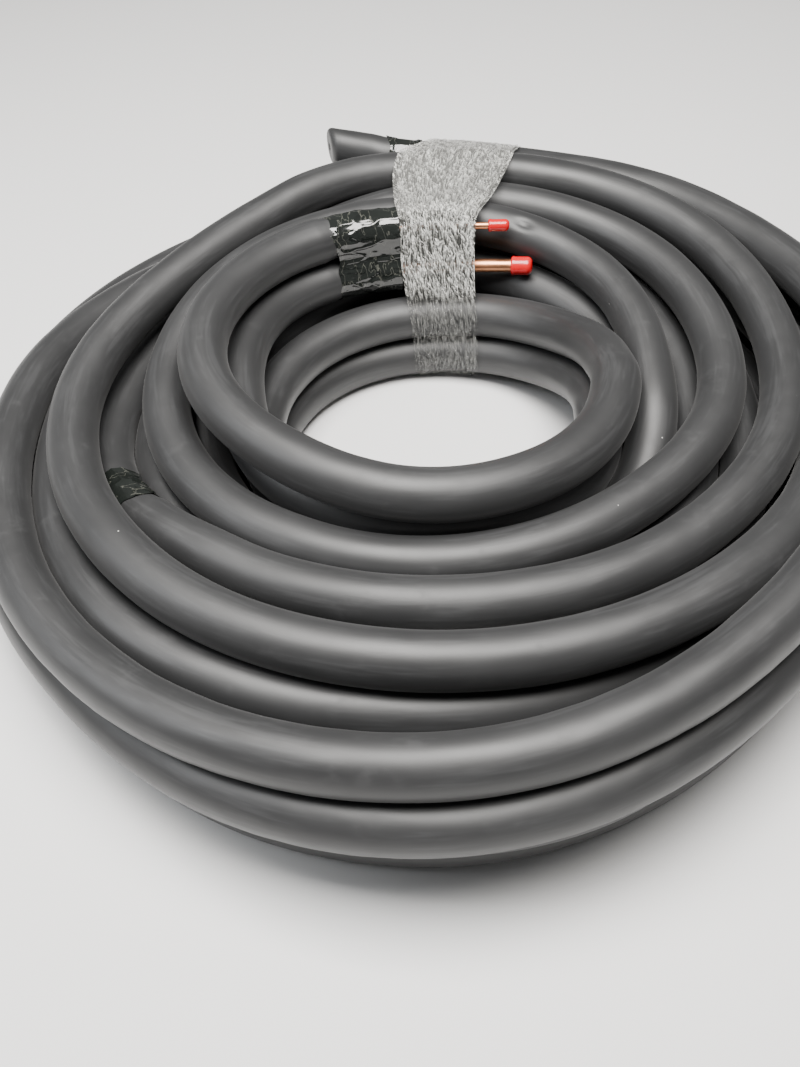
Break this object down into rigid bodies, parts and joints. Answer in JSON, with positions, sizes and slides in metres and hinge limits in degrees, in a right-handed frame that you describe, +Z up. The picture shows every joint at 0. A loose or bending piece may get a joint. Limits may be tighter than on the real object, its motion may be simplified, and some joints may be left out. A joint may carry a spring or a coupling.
{
  "type": "mini split line set coil",
  "caption": "Coil of insulated copper refrigerant piping for a mini split, a thin and a thick line in foam sleeves, bound with stretch film, with capped pipe ends.",
  "frame": {"origin": "middle of the coil's box, on the floor that it lies on", "axes": "+Z up along the coil's bore; -Y towards the side that the picture looks from; +Y towards the film and the pipe ends; +X to the right of that view"},
  "size_m": [0.8126, 0.851, 0.1686],
  "materials": {
    "foam": "matte closed-cell foam skin, dark grey",
    "copper": "bright drawn copper",
    "cap_vinyl": "glossy red vinyl",
    "tape": "glossy black vinyl tape",
    "film": "crinkled clear stretch film"
  },
  "bodies": {
    "root": {"foam_sleeve_liquid_1": "foam", "foam_sleeve_liquid_2": "foam", "foam_sleeve_liquid_3": "foam", "foam_sleeve_liquid_4": "foam", "foam_sleeve_liquid_5": "foam", "foam_sleeve_liquid_6": "foam", "foam_sleeve_liquid_7": "foam", "foam_sleeve_liquid_8": "foam", "foam_sleeve_liquid_9": "foam", "foam_sleeve_suction_1": "foam", "foam_sleeve_suction_2": "foam", "foam_sleeve_suction_3": "foam", "foam_sleeve_suction_4": "foam", "foam_sleeve_suction_5": "foam", "foam_sleeve_suction_6": "foam", "foam_sleeve_suction_7": "foam", "foam_sleeve_floor": "foam", "hidden_floor_turns": "foam", "copper_pipe_liquid_inner_end": "copper", "copper_pipe_suction_inner_end": "copper", "copper_pipe_liquid_outer_end": "copper", "copper_pipe_suction_outer_end": "copper", "cap_liquid": "cap_vinyl", "cap_suction": "cap_vinyl", "inner_end_tape": "tape", "joint_tape": "tape", "outer_end_tape": "tape", "stretch_film": "film"}
  },
  "joints": []
}
